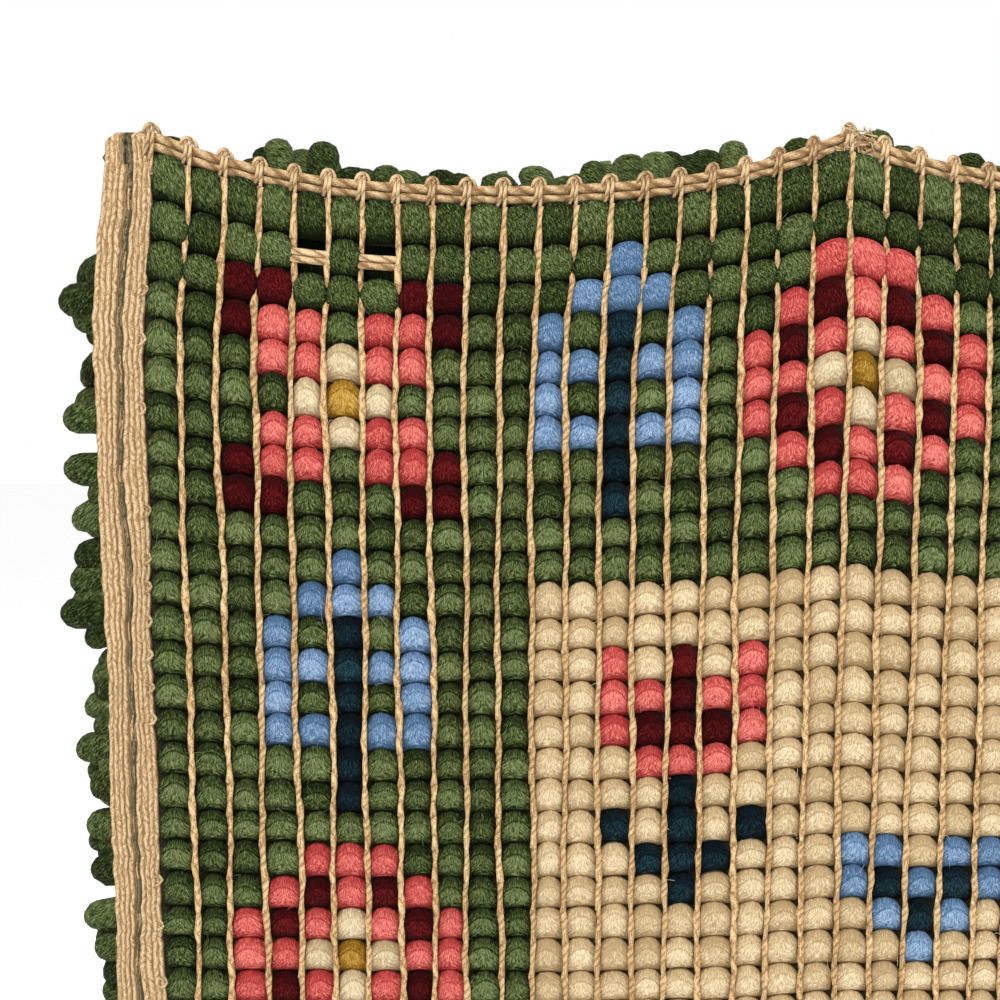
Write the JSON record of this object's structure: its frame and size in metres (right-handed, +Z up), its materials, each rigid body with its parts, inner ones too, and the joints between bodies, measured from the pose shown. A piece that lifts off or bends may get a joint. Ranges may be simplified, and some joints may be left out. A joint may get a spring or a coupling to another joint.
{
  "type": "latch hook wall hanging",
  "caption": "Rectangular latch hook wall hanging: rug canvas with woven selvedges, rows of wool knots on one side, shaggy cut pile on the other, hung by its scalloped top edge.",
  "frame": {"origin": "middle of the top heading, midway between two pins, at the canvas's middle plane", "axes": "+Z up the hanging, +X to the right as the knotted back is looked at, +Y out of the shaggy pile"},
  "size_m": [0.4426, 0.0274, 0.5695],
  "materials": {
    "canvas_cotton": "tan cotton rug canvas, matt, twisted threads",
    "knot_wool": "twisted rug wool in moss green, cream, coral, maroon, light blue, dark teal and mustard",
    "pile_wool": "cut rug wool pile, matt and shaggy"
  },
  "bodies": {
    "root": {"canvas": "canvas_cotton", "heading_top": "canvas_cotton", "heading_bottom": "canvas_cotton", "knot_rows": "knot_wool", "pile": "pile_wool"}
  },
  "joints": []
}
